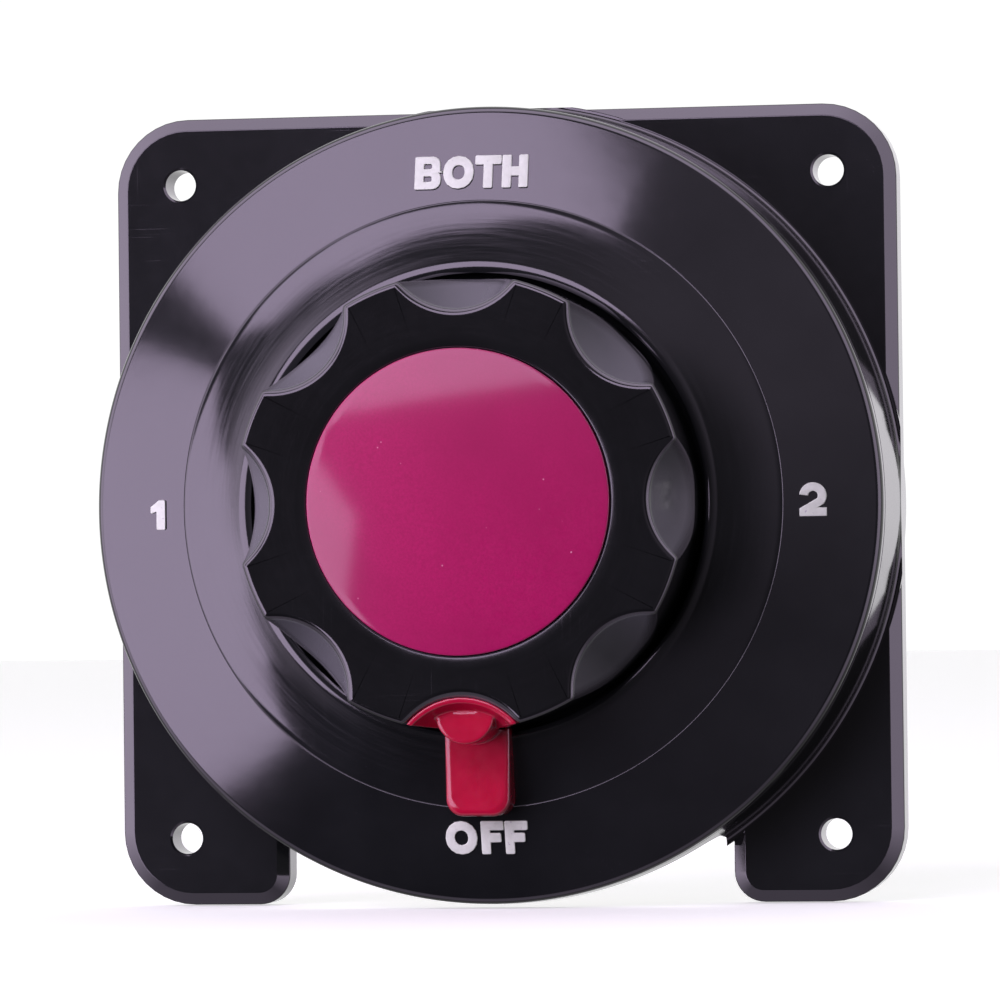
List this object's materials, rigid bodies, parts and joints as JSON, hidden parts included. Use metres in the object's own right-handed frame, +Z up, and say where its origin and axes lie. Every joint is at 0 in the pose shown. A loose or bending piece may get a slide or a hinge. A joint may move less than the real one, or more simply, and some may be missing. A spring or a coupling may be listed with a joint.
{
  "type": "battery switch",
  "caption": "Rotary marine battery selector switch: square mounting plate with a cable notch, round lettered drum, scalloped knob with a red label disc and a red pointer.",
  "frame": {"origin": "on the case's rear mounting face, at the centre of the four mounting holes and on the knob's axis", "axes": "+Z up the bulkhead towards BOTH, +X to the right of the dial, +Y into the bulkhead: the dial faces -Y"},
  "size_m": [0.1306, 0.0515, 0.1303],
  "materials": {
    "case_plastic": "gloss",
    "legend_white": "satin",
    "knob_plastic": "satin",
    "pointer_red": "gloss",
    "label_red": "gloss",
    "steel": "satin",
    "rotor_plastic": "matte",
    "seal_rubber": "matte",
    "copper": "satin",
    "board_phenolic": "matte",
    "stud_brass": "satin"
  },
  "bodies": {
    "case": {"housing": "case_plastic", "legend_off": "legend_white", "legend_1": "legend_white", "legend_both": "legend_white", "legend_2": "legend_white", "contact_plate": "board_phenolic", "plate_gasket": "seal_rubber", "contact_plate_screws": "steel", "contact_bar_1": "copper", "contact_bar_2": "copper", "contact_bar_common": "copper", "stud_1": "stud_brass", "stud_2": "stud_brass", "stud_common": "stud_brass", "jam_nuts": "steel", "flat_washers": "steel", "lock_washers": "steel", "terminal_nuts": "steel"},
    "selector": {"knob": "knob_plastic", "pointer": "pointer_red", "label_disc": "label_red", "knob_screw": "steel", "knob_washer": "steel", "rotor": "rotor_plastic", "shaft_o_ring": "seal_rubber", "detent_spring_1": "steel", "detent_spring_2": "steel", "bridge_springs": "steel"},
    "bridge": {"contact_bridge": "copper"},
    "ball_1": {"detent_ball_1": "steel"},
    "ball_2": {"detent_ball_2": "steel"}
  },
  "joints": [
    {"name": "knob_turn", "type": "hinge", "parent": "case", "child": "selector", "pos_m": [0, 0, 0], "axis": [0, -1, 0], "continuous": true},
    {"name": "bridge_lift", "type": "slide", "parent": "selector", "child": "bridge", "axis": [0, -1, 0], "range_m": [0, 0.0008], "stiffness_N_per_m": 3000, "springref_m": -0.003, "deforming": ["bridge_springs"]},
    {"name": "ball_1_ride", "type": "slide", "parent": "selector", "child": "ball_1", "axis": [1, 0, 0], "range_m": [0, 0.001], "deforming": ["detent_spring_1"]},
    {"name": "ball_2_ride", "type": "slide", "parent": "selector", "child": "ball_2", "axis": [-1, 0, 0], "range_m": [0, 0.001], "deforming": ["detent_spring_2"]}
  ]
}
